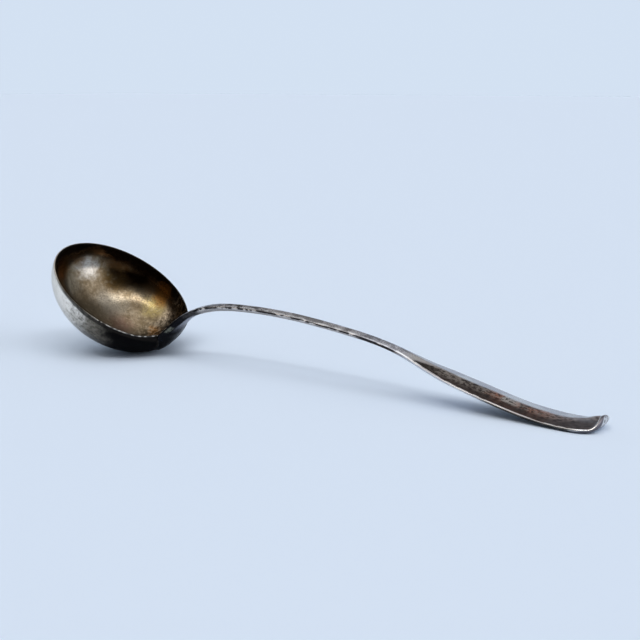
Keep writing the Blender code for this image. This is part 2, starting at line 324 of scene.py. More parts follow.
def spline(rows):
    """Smooth curve through the rows, sampled evenly, and closer together at both ends."""
    knots = [0.0]
    for first, second in zip(rows, rows[1:]):
        knots.append(knots[-1] + math.hypot(second[0] - first[0], second[1] - first[1]))
    last = len(rows) - 1
    slopes = []
    for i in range(last + 1):
        low = max(i - 1, 0)
        high = min(i + 1, last)
        run = knots[high] - knots[low]
        slopes.append([(b - a) / run for a, b in zip(rows[low], rows[high])])

    def sample(distance):
        i = 0
        while i < last - 1 and knots[i + 1] < distance:
            i += 1
        run = knots[i + 1] - knots[i]
        t = min(max((distance - knots[i]) / run, 0.0), 1.0)
        h00 = (1.0 + 2.0 * t) * (1.0 - t) ** 2
        h10 = t * (1.0 - t) ** 2
        h01 = t * t * (3.0 - 2.0 * t)
        h11 = t * t * (t - 1.0)
        return [h00 * a + h10 * run * m + h01 * b + h11 * run * n
                for a, b, m, n in zip(rows[i], rows[i + 1], slopes[i], slopes[i + 1])]

    total = knots[-1]
    places = []
    for i in range(HEEL_STEPS):
        places.append(HEEL_ROUND * (1.0 - math.cos(0.5 * math.pi * i / HEEL_STEPS)))
    middle = total - HEEL_ROUND - TIP_ROUND
    steps = int(middle / SPACING)
    for i in range(steps):
        places.append(HEEL_ROUND + middle * i / steps)
    for i in range(TIP_STEPS + 1):
        places.append(total - TIP_ROUND + TIP_ROUND * math.sin(0.5 * math.pi * i / TIP_STEPS))
    return [(distance, total, sample(distance)) for distance in places]


def roof(part):
    """Ridge across the handle, from 0 at the edges to 1 in the middle."""
    soft = 0.10
    far = math.sqrt(1.0 + soft * soft) - soft
    return 1.0 - (math.sqrt(part * part + soft * soft) - soft) / far


def section(width, ridge, edge, belly):
    """Outline across the handle, as (across, up, share of the half width, side)."""
    half = 0.5 * width
    bead = min(0.5 * edge, 0.45 * half)
    points = []
    for i in range(2 * HALF_STEPS + 1):
        part = 1.0 - i / HALF_STEPS
        points.append((part * (half - bead), ridge * roof(part), part, 1.0))
    for i in range(1, ROUND_STEPS):
        angle = 0.5 * math.pi + math.pi * i / ROUND_STEPS
        points.append((bead * math.cos(angle) - half + bead,
                       -0.5 * edge * (1.0 - math.sin(angle)), -1.0, math.sin(angle)))
    for i in range(2 * HALF_STEPS + 1):
        part = -1.0 + i / HALF_STEPS
        points.append((part * (half - bead), -edge - belly * (1.0 - part * part), part, -1.0))
    for i in range(1, ROUND_STEPS):
        angle = -0.5 * math.pi + math.pi * i / ROUND_STEPS
        points.append((bead * math.cos(angle) + half - bead,
                       -0.5 * edge * (1.0 - math.sin(angle)), 1.0, math.sin(angle)))
    return points


def corner_curl(x, across):
    """How far the far corner of the broad end is curled up."""
    part = smoothstep(CURL_START, CURL_END, x - BOWL_CENTRE_X)
    return CURL * part * (max(across, 0.0) / (0.5 * TIP_WIDTH * MM)) ** 2


def off_the_bowl(spot):
    """Move a point of the heel out of the bowl's wall, below the rim line."""
    skin_gap = 0.03 * MM
    rim_gap = 0.35 * MM
    fade = 0.3 * MM
    local = BOWL_PLACE.inverted() @ spot
    top = rim_lift(local.x) + rim_gap
    depth = min(local.z, 0.0) / BOWL_DEPTH
    reach = math.sqrt((local.x / ALONG) ** 2 + (local.y / BOWL_HALF_WIDTH) ** 2 + depth * depth)
    wanted = 1.0 + skin_gap / BOWL_HALF_WIDTH
    if reach >= wanted or local.x < 0.0:
        return spot
    share = 1.0 - smoothstep(-fade, fade, local.z - top)
    scale = 1.0 + (wanted / reach - 1.0) * share
    z = local.z if local.z > 0.0 else local.z * scale
    return BOWL_PLACE @ Vector((local.x * scale, local.y * scale, z))


def end_caps(ring):
    """Faces that close one end of the handle, in strips across it."""
    across = 2 * HALF_STEPS
    top = ring[:across + 1]
    near = ring[across + 1:across + ROUND_STEPS]
    low = ring[across + ROUND_STEPS:2 * across + ROUND_STEPS + 1]
    far = ring[2 * across + ROUND_STEPS + 1:]
    below = list(reversed(low))
    faces = [(top[i], top[i + 1], below[i + 1], below[i]) for i in range(across)]
    faces.append((top[-1], *near, low[0]))
    faces.append((low[-1], *far, top[0]))
    return faces


def build_handle(material):
    """Handle lofted in one skin from the heel to the turned-up tip."""
    rows = spline(stations())
    verts = []
    attributes = {"across": [], "run": [], "side": []}
    rings = []
    for k, (distance, total, row) in enumerate(rows):
        x, z, width, ridge, edge, belly = row
        ends = ((distance, HEEL_ROUND, 2.0), (total - distance, TIP_ROUND, TIP_POWER))
        for gap, reach, power in ends:
            if gap < reach:
                part = 1.0 - gap / reach
                width *= max(1.0 - part ** power, NARROWEST) ** (1.0 / power)
        before = rows[max(k - 1, 0)][2]
        after = rows[min(k + 1, len(rows) - 1)][2]
        along = Vector((after[0] - before[0], 0.0, after[1] - before[1])).normalized()
        face = Vector((-along.z, 0.0, along.x))
        ring = []
        for across, up, share, side in section(width, ridge, edge, belly):
            spot = Vector((x, across, z + corner_curl(x, across))) + face * up
            wave = planish(spot, HANDLE_WAVE)
            spot += face * wave * smoothstep(0.0, WAVE_START, distance)
            spot = off_the_bowl(spot)
            spot.z = max(spot.z, TABLE_GAP)
            ring.append(len(verts))
            verts.append(tuple(spot))
            attributes["across"].append(share)
            attributes["run"].append(distance)
            attributes["side"].append(side)
        rings.append(ring)
    faces = skin(rings) + end_caps(rings[0]) + end_caps(rings[-1])
    return finish_mesh("ladle_handle", verts, faces, Matrix.Identity(4), attributes,
                       material, "handle")


# ---------------------------------------------------------------- solder

# Angle below the rim where the seam starts, and its steps down each side and round the end.
SEAM_START = math.radians(0.5)
SEAM_SIDE_STEPS = 24
SEAM_END_STEPS = 16
# Section: leg along the wall, rise up the heel, root reaching under the heel and sunk into the wall.
SEAM_LEG = 0.85 * MM
SEAM_RISE = 0.6 * MM
SEAM_ROOT = 0.25 * MM
SEAM_SINK = 0.1 * MM
SEAM_GAP = 0.01 * MM
SEAM_HOLLOW_STEPS = 5
# Both ends of the seam are thinner, and its size wavers along the way.
SEAM_TAPER_STEPS = 4
SEAM_THIN_END = 0.3
SEAM_LUMPS = 0.25
SEAM_LUMP_WAVE = 400.0
# Length along the back of the bowl for each radian below the rim, near the end of the heel.
ARC_PER_RADIAN = 38.5 * MM


def heel_half_width(rows, spot):
    """Half the width of the heel beside a point in the plane of symmetry."""
    best = min(rows, key=lambda item: math.hypot(item[2][0] - spot.x, item[2][1] - spot.z))
    return 0.5 * best[2][2]


def seam_path():
    """Places round the edge of the heel on the bowl's wall, and the way out of the wall there."""
    rows = spline(stations())
    end = math.radians(HEEL[0][0]) - HEEL_ROUND / ARC_PER_RADIAN
    outline = []
    for i in range(SEAM_SIDE_STEPS + 1):
        angle = SEAM_START + (end - SEAM_START) * i / SEAM_SIDE_STEPS
        outline.append((angle, heel_half_width(rows, wall_point(angle, FLUSH))))
    wide = outline[-1][1]
    for i in range(1, SEAM_END_STEPS + 1):
        bend = 0.5 * math.pi * i / SEAM_END_STEPS
        angle = end + HEEL_ROUND * math.sin(bend) / ARC_PER_RADIAN
        outline.append((angle, wide * math.cos(bend)))
    outline += [(angle, -across) for angle, across in reversed(outline[:-1])]
    path = []
    for angle, across in outline:
        down = BOWL_DEPTH * math.sin(angle)
        along = ALONG * math.sqrt(1.0 - (across / BOWL_HALF_WIDTH) ** 2 - (down / BOWL_DEPTH) ** 2)
        path.append((Vector((along, across, -down)), bowl_normal(along, across, -down)))
    return path


def seam_profile(size):
    """Section of the seam, as (away from the heel, out of the wall), with a hollow face."""
    leg = SEAM_LEG * size
    rise = SEAM_RISE * size
    profile = [(-SEAM_ROOT, -SEAM_SINK)]
    for i in range(SEAM_HOLLOW_STEPS + 1):
        bend = 0.5 * math.pi * i / SEAM_HOLLOW_STEPS
        profile.append((leg * (1.0 - math.sin(bend)), rise * (1.0 - math.cos(bend))))
    profile.append((-SEAM_ROOT, rise))
    return profile


def build_seam(material):
    """Hollow fillet of solder between the edge of the heel and the bowl."""
    path = seam_path()
    last = len(path) - 1
    verts = []
    rings = []
    for k, (spot, away) in enumerate(path):
        ahead = (path[min(k + 1, last)][0] - path[max(k - 1, 0)][0]).normalized()
        out = away.cross(ahead).normalized()
        lumps = 1.0 + SEAM_LUMPS * noise.noise(spot * SEAM_LUMP_WAVE)
        ends = smoothstep(0, SEAM_TAPER_STEPS, k) * smoothstep(0, SEAM_TAPER_STEPS, last - k)
        taper = SEAM_THIN_END + (1.0 - SEAM_THIN_END) * ends
        ring = []
        for sideways, up in seam_profile(lumps * taper):
            ring.append(len(verts))
            verts.append(tuple(spot + out * sideways + away * (up + SEAM_GAP)))
        rings.append(ring)
    faces = skin(rings) + [tuple(rings[0]), tuple(reversed(rings[-1]))]
    return finish_mesh("ladle_solder", verts, faces, BOWL_PLACE, {}, material,
                       "solder_seam")


# ---------------------------------------------------------------- node helpers


class Nodes:
    """Short names for building a node tree."""

    def __init__(self, tree, coords):
        self.tree = tree
        self.coords = tree.nodes.new("ShaderNodeTexCoord").outputs[coords]

    def put(self, socket, value):
        """Link an output, or set a number or an opaque colour."""
        if isinstance(value, bpy.types.NodeSocket):
            self.tree.links.new(value, socket)
        elif isinstance(value, tuple):
            socket.default_value = (*value, 1.0)
        else:
            socket.default_value = value

    def math(self, kind, first, second=0.0, third=None):
        """Math node."""
        node = self.tree.nodes.new("ShaderNodeMath")
        node.operation = kind
        self.put(node.inputs[0], first)
        self.put(node.inputs[1], second)
        if third is not None:
            self.put(node.inputs[2], third)
        return node.outputs[0]

    def vector_math(self, kind, vector):
        """Distance or dot product of the coordinates and a fixed vector."""
        node = self.tree.nodes.new("ShaderNodeVectorMath")
        node.operation = kind
        self.put(node.inputs[0], self.coords)
        node.inputs[1].default_value = vector
        return node.outputs["Value"]

    def axes(self):
        """Coordinates apart."""
        node = self.tree.nodes.new("ShaderNodeSeparateXYZ")
        self.put(node.inputs[0], self.coords)
        return node.outputs[0], node.outputs[1], node.outputs[2]

    def times(self, *values):
        """Product of all the values."""
        product = values[0]
        for value in values[1:]:
            product = self.math("MULTIPLY", product, value)
        return product

    def step(self, value, low, high, start=0.0, end=1.0):
        """Smooth ramp from start at low to end at high."""
        node = self.tree.nodes.new("ShaderNodeMapRange")
        node.interpolation_type = "SMOOTHSTEP"
        self.put(node.inputs["Value"], value)
        node.inputs["From Min"].default_value = low
        node.inputs["From Max"].default_value = high
        node.inputs["To Min"].default_value = start
        node.inputs["To Max"].default_value = end
        return node.outputs["Result"]

    def span(self, value, low, high, start=0.0, end=1.0):
        """Smooth ramp over a length, with low and high in millimetres."""
        return self.step(value, low * MM, high * MM, start, end)

    def between(self, value, rise, full, fall, gone):
        """0 up to rise, 1 from full to fall, 0 again after gone, in millimetres."""
        return self.times(self.span(value, rise, full), self.span(value, gone, fall))

    def mix(self, share, first, second):
        """Mix two colours."""
        node = self.tree.nodes.new("ShaderNodeMix")
        node.data_type = "RGBA"
        self.put(node.inputs[0], share)
        self.put(node.inputs[6], first)
        self.put(node.inputs[7], second)
        return node.outputs[2]

    def paint(self, under, over, *shares):
        """Colour under, covered by colour over as far as the product of the shares."""
        return self.mix(self.times(*shares), under, over)

    def blend(self, share, first, second):
        """Mix two numbers."""
        node = self.tree.nodes.new("ShaderNodeMix")
        self.put(node.inputs[0], share)
        self.put(node.inputs[2], first)
        self.put(node.inputs[3], second)
        return node.outputs[0]


class Metal(Nodes):
    """Node material of a piece of metal."""

    def __init__(self, name, in_bowl=False):
        self.material = bpy.data.materials.new(name)
        self.material.use_nodes = True
        super().__init__(self.material.node_tree, "Object")
        self.shader = self.tree.nodes["Principled BSDF"]
        if in_bowl:
            node = self.tree.nodes.new("ShaderNodeMapping")
            node.vector_type = "TEXTURE"
            node.inputs["Location"].default_value = BOWL_CENTRE
            node.inputs["Rotation"].default_value = (0.0, BOWL_LEAN, 0.0)
            self.put(node.inputs["Vector"], self.coords)
            self.coords = node.outputs["Vector"]

    def attribute(self, name):
        """Point attribute as a number."""
        node = self.tree.nodes.new("ShaderNodeAttribute")
        node.attribute_name = name
        return node.outputs["Fac"]

    def noise(self, size, detail, rough, scale=(1.0, 1.0, 1.0), move=(0.0, 0.0, 0.0), warp=0.0):
        """Noise with features of about size millimetres, drawn out where scale is below 1."""
        place = self.tree.nodes.new("ShaderNodeMapping")
        place.inputs["Scale"].default_value = scale
        place.inputs["Location"].default_value = move
        self.put(place.inputs["Vector"], self.coords)
        node = self.tree.nodes.new("ShaderNodeTexNoise")
        self.put(node.inputs["Vector"], place.outputs["Vector"])
        node.inputs["Scale"].default_value = 1.0 / (size * MM)
        node.inputs["Detail"].default_value = detail
        node.inputs["Roughness"].default_value = rough
        node.inputs["Distortion"].default_value = warp
        return node.outputs["Fac"]

    def sway(self, value, cloud, amount):
        """Value pushed to and fro by a noise."""
        return self.math("MULTIPLY_ADD", self.math("SUBTRACT", cloud, 0.5), amount, value)

    def bump(self, height, depth, strength, before=None):
        """Bump node, chained, with its depth in millimetres."""
        node = self.tree.nodes.new("ShaderNodeBump")
        node.inputs["Strength"].default_value = strength
        node.inputs["Distance"].default_value = depth * MM
        self.put(node.inputs["Height"], height)
        if before is not None:
            self.put(node.inputs["Normal"], before)
        return node.outputs["Normal"]

    def finish(self, colour, roughness, normal, glance=1.0):
        """Plug the results into the shader; glance dims the reflection at grazing angles."""
        self.put(self.shader.inputs["Base Color"], colour)
        self.put(self.shader.inputs["Roughness"], roughness)
        self.put(self.shader.inputs["Metallic"], 1.0)
        self.put(self.shader.inputs["Normal"], normal)
        self.put(self.shader.inputs["Specular Tint"], (glance, glance, glance))
        return self.material


# ---------------------------------------------------------------- materials

# Colours of the metal and its tarnish; some below also carry painted reflection and painted shade.
CLEAN = (0.96, 0.945, 0.925)
# Silver tinted warm: a painted reflection tint for the outside of the bowl.
WARM_REFLECTION_CREAM = (1.0, 0.93, 0.83)
PALE = (0.70, 0.675, 0.695)
DULL = (0.55, 0.50, 0.44)
BLACK = (0.018, 0.015, 0.013)
# Near black for the flank below the handle's edge: partly tarnish, partly painted shade.
TARNISH_AND_SHADE_BLACK = (0.010, 0.009, 0.009)
# Outside of the bowl.
WARM_GREY = (0.20, 0.175, 0.140)
OLIVE_STAIN = (0.055, 0.048, 0.036)
# Black under the handle: partly tarnish, partly painted shade for the shadowed floor it reflects.
DEEP_BLACK = (0.004, 0.0035, 0.004)
WORN_LIP = (0.50, 0.485, 0.46)
# Lining of the bowl.
TAN = (0.235, 0.185, 0.125)
DARK_TAN = (0.145, 0.108, 0.064)
BEIGE_GRAIN = (0.34, 0.29, 0.22)
RED_BROWN = (0.10, 0.040, 0.010)
FILM_BLACK = (0.006, 0.003, 0.002)
PALE_FLECK = (0.62, 0.51, 0.39)
PORE_BROWN = (0.035, 0.022, 0.010)
LIP_BROWN = (0.022, 0.014, 0.008)
# Stem of the handle.
VIOLET_WHITE = (0.80, 0.83, 0.95)
VIOLET_GREY = (0.47, 0.50, 0.60)
BEIGE = (0.66, 0.60, 0.54)
DARK_GREY = (0.26, 0.24, 0.24)
PORE_GREY = (0.10, 0.09, 0.085)
# Brown film on the broad end.
PALE_BROWN = (0.32, 0.275, 0.245)
DARK_BROWN = (0.16, 0.130, 0.112)
RUST = (0.52, 0.215, 0.13)
TAIL_BROWN = (0.34, 0.230, 0.200)
WORN_FILM = (0.76, 0.72, 0.69)
SPECK_GREY = (0.42, 0.38, 0.36)
PIT_BLACK = (0.022, 0.017, 0.016)
FOOT_BROWN = (0.050, 0.036, 0.034)
# Edges of the handle: dark flank, partly painted shade, and a painted highlight line.
EDGE_GREY = (0.06, 0.053, 0.048)
DASH_CREAM = (0.66, 0.60, 0.55)
DASH_GREY = (0.50, 0.46, 0.44)
HIGHLIGHT_WHITE = (0.90, 0.93, 0.98)
# Back of the turned-up end: painted shading from grey above to a painted white glint below, with
# dark marks.
BACK_GREY = (0.26, 0.25, 0.28)
BACK_GLINT_WHITE = (0.90, 0.89, 0.89)
BACK_MARK = (0.10, 0.09, 0.10)
BACK_EDGE = (0.15, 0.14, 0.16)
# Root of the handle, with a painted lilac reflection on its flank.
ROOT_BLACK = (0.008, 0.007, 0.008)
ROOT_WORN = (0.20, 0.20, 0.17)
FLANK_BLACK = (0.010, 0.010, 0.012)
FLANK_LILAC_REFLECTION = (0.85, 0.84, 0.93)
CHIP = (0.13, 0.13, 0.105)
# Solder.
SOLDER_GREY = (0.07, 0.065, 0.06)

# Stains of the lining, and one painted highlight: place, where it is full and where it ends (mm),
# strength, colour.
# The handle is towards +X, the far side is +Y, and Z is 0 at the rim.
LINING_STAINS_AND_HIGHLIGHT = (
    # Pale silver on the wall opposite the handle, made paler as a painted highlight where the
    # window's reflection falls, and pale olive lower down.
    ((-40, 10, -16), 3, 12, 0.85, (0.37, 0.35, 0.32)),
    ((-14, 16, -26), 4, 18, 0.70, (0.25, 0.225, 0.185)),
    # Gold and brown on the far wall.
    ((5, 37, -17), 3, 13, 0.90, (0.26, 0.205, 0.085)),
    ((-27, 27, -17), 5, 15, 0.80, (0.11, 0.062, 0.016)),
    # Dark olive and rose in the bottom.
    ((-12, -4, -31), 5, 18, 0.75, (0.10, 0.080, 0.052)),
    ((3, 12, -31), 3, 14, 0.70, (0.165, 0.095, 0.075)),
    # Orange near the handle and opposite it, and beige under the far rim.
    ((23, 22, -22), 2, 8, 0.85, (0.46, 0.22, 0.06)),
    ((-41, -15, -13), 3, 11, 0.90, (0.30, 0.13, 0.03)),
    ((26, 34, -9), 5, 18, 0.80, (0.36, 0.29, 0.21)),
)
# Under the far rim: black first, and amber over the black film.
BLACK_STAINS = (
    ((-19, 38, -9), 4, 14, 0.97, (0.010, 0.004, 0.001)),
    ((-33, 29, -7), 3, 12, 0.85, (0.030, 0.012, 0.003)),
)
AMBER_STAINS = (
    ((3, 42, -10), 2, 10, 0.75, (0.30, 0.12, 0.02)),
)


class BowlSilver(Metal):
    """Silver of the bowl: pale to black outside, stained gilding inside, with a painted reflection
    tint, painted shade and a painted highlight.
    """

    def __init__(self):
        super().__init__("bowl_worn_silver", in_bowl=True)
        self.x, self.y, self.z = self.axes()
        self.inside = self.attribute("inside")
        self.cloud = self.noise(14.0, 5.0, 0.6, warp=0.4)
        self.patch = self.noise(6.0, 5.0, 0.65, move=(0.3, 0.1, 0.7), warp=0.6)
        self.fine = self.noise(1.1, 4.0, 0.7)
        self.grain = self.noise(2.2, 3.0, 0.6, move=(0.9, 0.4, 0.2))
        self.towards = self.cloudy(self.x, 16.0, 14.0)
        self.under_handle = self.span(self.towards, 20, 34)
        # Height from the rim, taken lower opposite the handle, where the black film is narrow.
        thin = self.stain((-43, 16, -6), 3, 14)
        self.height = self.math("MULTIPLY_ADD", thin, -6.0 * MM, self.cloudy(self.z, 8.0, 8.0))
        self.film = self.times(self.span(self.height, -9.2, -4.5),
                               self.span(self.x, 12, 24, 1.0, 0.25))

    def cloudy(self, value, by_cloud, by_patch):
        """Length pushed to and fro by the two larger noises, by so many millimetres."""
        value = self.sway(value, self.cloud, by_cloud * MM)
        return self.sway(value, self.patch, by_patch * MM)

    def stain(self, place, inner, outer):
        """1 about a place on the bowl, in millimetres, with a cloudy border."""
        reach = self.vector_math("DISTANCE", [value * MM for value in place])
        return self.span(self.cloudy(reach, 12.0, 12.0), outer, inner)

    def lay_patches(self, colour, table):
        """Colour with a table of stained and painted-highlight patches on it."""
        for place, inner, outer, strength, tint in table:
            colour = self.paint(colour, tint, self.stain(place, inner, outer), strength)
        return colour

    def outside(self):
        """Cream opposite the handle, tinted as a painted warm reflection; grey in the middle; black
        under the handle, partly tarnish and partly painted shade.
        """
        towards = self.towards
        # Cream tinted warm: a painted reflection tint, so the bluish floor it reflects reads warm
        # white.
        colour = self.mix(self.step(self.patch, 0.45, 0.70, 0.0, 0.2), WARM_REFLECTION_CREAM, DULL)
        colour = self.paint(colour, WARM_GREY, self.span(towards, -2, 20))
        colour = self.paint(colour, OLIVE_STAIN, self.step(self.grain, 0.46, 0.60),
                            self.span(towards, -12, 10), 0.55)
        # Black under the handle: partly tarnish, partly painted shade.
        colour = self.paint(colour, DEEP_BLACK, self.under_handle)
        colour = self.paint(colour, BLACK, self.step(self.fine, 0.56, 0.68, 0.0, 0.5),
                            self.span(towards, -10, 10, 0.15, 1.0))
        # A black line just below the rim, deeper towards the handle.
        depth = self.math("ADD", self.z, self.span(towards, -2, 12, 0.0, 1.2 * MM))
        return self.paint(colour, BLACK, self.span(depth, -1.4, -0.4),
                          self.span(self.x, -22, -4, 0.2, 1.0), 0.85)

    def lining(self):
        """Olive and brown film over thin gilding, black inside the far rim."""
        colour = self.mix(self.step(self.patch, 0.36, 0.64), TAN, DARK_TAN)
        # Stains, and a painted highlight on the wall opposite the handle.
        colour = self.lay_patches(colour, LINING_STAINS_AND_HIGHLIGHT)
        colour = self.paint(colour, BEIGE_GRAIN, self.step(self.grain, 0.54, 0.62, 0.0, 0.25))
        # Black film inside the far rim, red-brown where it thins out.
        colour = self.paint(colour, RED_BROWN, self.span(self.height, -16.5, -8.5), 0.6)
        colour = self.lay_patches(colour, BLACK_STAINS)
        colour = self.paint(colour, FILM_BLACK, self.film, 0.97)
        colour = self.lay_patches(colour, AMBER_STAINS)
        # Pale flecks near the handle, dark pores, a dark border under the near lip, black grains.
        colour = self.paint(colour, PALE_FLECK, self.step(self.grain, 0.50, 0.56),
                            self.span(self.x, 10, 24), 0.55)
        colour = self.paint(colour, PORE_BROWN, self.step(self.fine, 0.50, 0.62, 0.0, 0.38))
        colour = self.paint(colour, LIP_BROWN, self.span(self.height, -7.0, -2.5),
                            self.span(self.y, 6, -8), 0.75)
        return self.paint(colour, BLACK, self.step(self.grain, 0.50, 0.44),
                          self.span(self.x, 10, 28), 0.8)

    def lip(self, colour):
        """Lip: rubbed bright in places on its outer half, black inside it."""
        colour = self.paint(colour, BLACK, self.step(self.inside, 0.45, 0.62),
                            self.step(self.inside, 1.0, 0.9), 0.9)
        worn = self.times(self.step(self.grain, 0.56, 0.46, 0.1, 1.0), self.span(self.y, 10, -10),
                          self.span(self.x, 10, 30, 0.12, 1.0))
        metal = self.mix(worn, BLACK, WORN_LIP)
        return self.paint(colour, metal, self.step(self.inside, 0.02, 0.2),
                          self.step(self.inside, 0.50, 0.34), self.span(self.x, -14, -30, 0.9, 0.0))

    def build(self):
        """The whole material."""
        within = self.step(self.inside, 0.40, 0.60)
        colour = self.lip(self.mix(within, self.outside(), self.lining()))
        rough_out = self.blend(self.under_handle, 0.22, 0.5)
        rough_in = self.blend(self.film, self.step(self.patch, 0.3, 0.7, 0.13, 0.20), 0.4)
        rough = self.blend(within, rough_out, rough_in)
        rough = self.math("MULTIPLY_ADD", self.fine, 0.08, rough)
        scratches = self.step(self.noise(1.1, 3.0, 0.6, (1.0, 0.12, 0.4)), 0.60, 0.66)
        normal = self.bump(self.patch, 0.06, 0.25)
        normal = self.bump(self.fine, 0.03, 0.3, normal)
        normal = self.bump(scratches, 0.015, 0.5, normal)
        return self.finish(colour, rough, normal, 0.7)


class HandleSilver(Metal):
    """Silver of the handle: black at its root, brown on the broad end, with painted highlights and
    painted shade along its edges.
    """

    def __init__(self):
        super().__init__("handle_worn_silver")
        # Across: -1 at the near edge, 1 at the far one. Side: 1 above, -1 below.
        # Run: metres from the end of the heel.
        self.across = self.attribute("across")
        self.run = self.attribute("run")
        self.side = self.attribute("side")
        self.cloud = self.noise(16.0, 5.0, 0.6, warp=0.5)
        self.patch = self.noise(4.5, 5.0, 0.65, (0.45, 1.0, 1.0), warp=0.7)
        self.fine = self.noise(1.0, 4.0, 0.75)
        self.blot = self.noise(3.4, 3.0, 0.5, (0.40, 1.0, 1.0), (0.7, 0.2, 0.4), 0.4)
        self.pepper = self.noise(1.7, 4.0, 0.7, (0.7, 1.0, 1.0), (0.2, 0.5, 0.1))
        self.top = self.step(self.side, 0.65, 0.95)
        self.stem = self.span(self.run, 215, 195)
        self.neck = self.span(self.run, 125, 75)
        self.tail = self.span(self.run, 306, 312)
        self.back = self.times(self.tail, self.step(self.side, 0.15, -0.10))
        # Near: how far past the border of the brown film, towards the near edge.
        limit = self.span(self.run, 222, 262, 0.06, -0.20)
        limit = self.math("ADD", limit, self.span(self.run, 205, 227, 0.60, 0.0))
        limit = self.math("ADD", limit, self.span(self.run, 296, 314, 0.0, -1.0))
        nearness = self.sway(self.times(self.across, -1.0), self.patch, 0.45)
        self.near = self.math("SUBTRACT", nearness, limit)
        self.film = self.times(self.step(self.near, -0.14, 0.14),
                               self.span(self.run, 207, 217), self.top)

    def plain(self):
        """Grey with a violet cast, a little beige on the near half, pale on the broad end."""
        colour = self.mix(self.step(self.cloud, 0.40, 0.56), VIOLET_WHITE, VIOLET_GREY)
        colour = self.paint(colour, BEIGE, self.step(self.across, 0.05, -0.45),
                            self.span(self.run, 160, 180, 0.45, 0.15))
        colour = self.paint(colour, DARK_GREY, self.step(self.patch, 0.52, 0.66, 0.0, 0.5))
        broad = self.mix(self.step(self.cloud, 0.4, 0.6), PALE, CLEAN)
        return self.paint(colour, broad, self.span(self.run, 196, 212), 0.9)

    def brown(self):
        """Brown film of the broad end, with red-brown and worn patches, specks and pits."""
        mottle = self.noise(8.0, 4.0, 0.6, (0.7, 1.0, 1.0), (0.6, 0.3, 0.8), 0.5)
        run = self.sway(self.run, self.cloud, 30.0 * MM)
        colour = self.mix(self.step(mottle, 0.44, 0.55), PALE_BROWN, DARK_BROWN)
        colour = self.paint(colour, RUST, self.span(run, 248, 258),
                            self.step(mottle, 0.62, 0.50), self.span(self.run, 300, 284, 0.0, 0.9))
        colour = self.paint(colour, TAIL_BROWN, self.span(self.run, 284, 296, 0.0, 0.7))
        colour = self.paint(colour, WORN_FILM, self.between(run, 263.5, 266.5, 271.5, 274.5),
                            self.step(self.across, -0.65, -0.35), 0.9)
        colour = self.paint(colour, SPECK_GREY, self.step(self.pepper, 0.50, 0.58, 0.0, 0.6))
        return self.paint(colour, PIT_BLACK, self.step(self.pepper, 0.495, 0.44, 0.0, 0.9))

    def broad_end(self, colour):
        """Brown film, with a black streak where it begins and along its near edge."""
        colour = self.paint(colour, self.brown(), self.film, 0.96)
        colour = self.paint(colour, BLACK, self.between(self.run, 206, 210, 214, 229),
                            self.step(self.near, -0.05, 0.25), self.top, 0.9)
        return self.paint(colour, FOOT_BROWN, self.step(self.near, 0.45, 0.85), self.film, 0.8)

    def blots(self, colour):
        """Dark blots and pits on the stem, thick at the neck."""
        colour = self.paint(colour, BLACK, self.step(self.blot, 0.50, 0.55), self.stem,
                            self.blend(self.neck, 0.35, 0.5))
        colour = self.paint(colour, BLACK, self.step(self.pepper, 0.50, 0.54), self.stem, self.neck,
                            self.span(self.run, 40, 50), 0.85)
        return self.paint(colour, PORE_GREY, self.step(self.fine, 0.56, 0.66, 0.0, 0.6), self.stem)

    def edges(self, colour):
        """Edges: a painted highlight line along the upper corners; below it dark or dashed, mostly
        near, partly tarnish and partly painted shade.
        """
        # Quiet: where the painted highlight line is dull. Where hardly any of the painted dark shows
        # below the line, the flank keeps its plain colour.
        quiet = self.between(self.run, 165, 172, 192, 199)
        rubbed = self.between(self.run, 194, 204, 246, 262)
        # Dark flank below the line: partly tarnish, partly painted shade where the edge meets the
        # contact shadow.
        under = self.mix(self.step(self.blot, 0.42, 0.54), EDGE_GREY, TARNISH_AND_SHADE_BLACK)
        mottled = self.noise(3.2, 4.0, 0.6, (0.55, 1.0, 1.0), (0.4, 0.1, 0.3))
        gaps = self.step(self.blend(self.neck, self.blot, mottled), 0.45, 0.52)
        dashes = self.mix(gaps, DASH_CREAM, TARNISH_AND_SHADE_BLACK)
        dashes = self.paint(dashes, DASH_GREY, self.step(self.side, 0.0, -0.3, 0.0, 0.8))
        under = self.paint(under, dashes, self.between(self.run, 46, 53, 190, 205))
        under = self.paint(under, BLACK, quiet, self.step(self.side, 0.45, 0.2))
        colour = self.paint(colour, under, self.step(self.side, 0.75, 0.50),
                            self.span(self.run, 310, 302, 0.35, 1.0), self.blend(rubbed, 1.0, 0.05),
                            self.step(self.across, 0.2, -0.6, 0.35, 0.95))
        # The painted highlight line widens over the corner on the stem and at the tail.
        rounded = self.math("MULTIPLY_ADD", self.stem, 0.10, self.side)
        rounded = self.math("MULTIPLY_ADD", self.tail, 0.3, rounded)
        border = self.math("MULTIPLY_ADD", self.stem, 0.09, self.math("ABSOLUTE", self.across))
        # Painted highlight: a white line along the upper corners, dimmer where quiet.
        line = self.times(self.step(border, 0.980, 0.999), self.step(rounded, 0.80, 0.97),
                          self.step(self.blot, 0.56, 0.48, 0.1, 1.0),
                          self.span(self.run, 70, 88, 0.15, 1.0), self.blend(quiet, 1.0, 0.35))
        return self.paint(colour, HIGHLIGHT_WHITE, line, 0.95)

    def underside(self, colour):
        """Back of the turned-up end, painted grey above with a white glint below; and painted black
        where the broad end rests, deepening the shade beneath it.
        """
        height = self.axes()[2]
        # Painted light and shade: grey higher up, a white glint lower down.
        grey = self.mix(self.span(height, 8.8, 6.2), BACK_GREY, BACK_GLINT_WHITE)
        grey = self.paint(grey, BACK_MARK, self.step(self.pepper, 0.52, 0.58, 0.0, 0.7))
        grey = self.paint(grey, BACK_EDGE, self.step(self.across, -0.52, -0.70))
        colour = self.paint(colour, grey, self.back, 0.95)
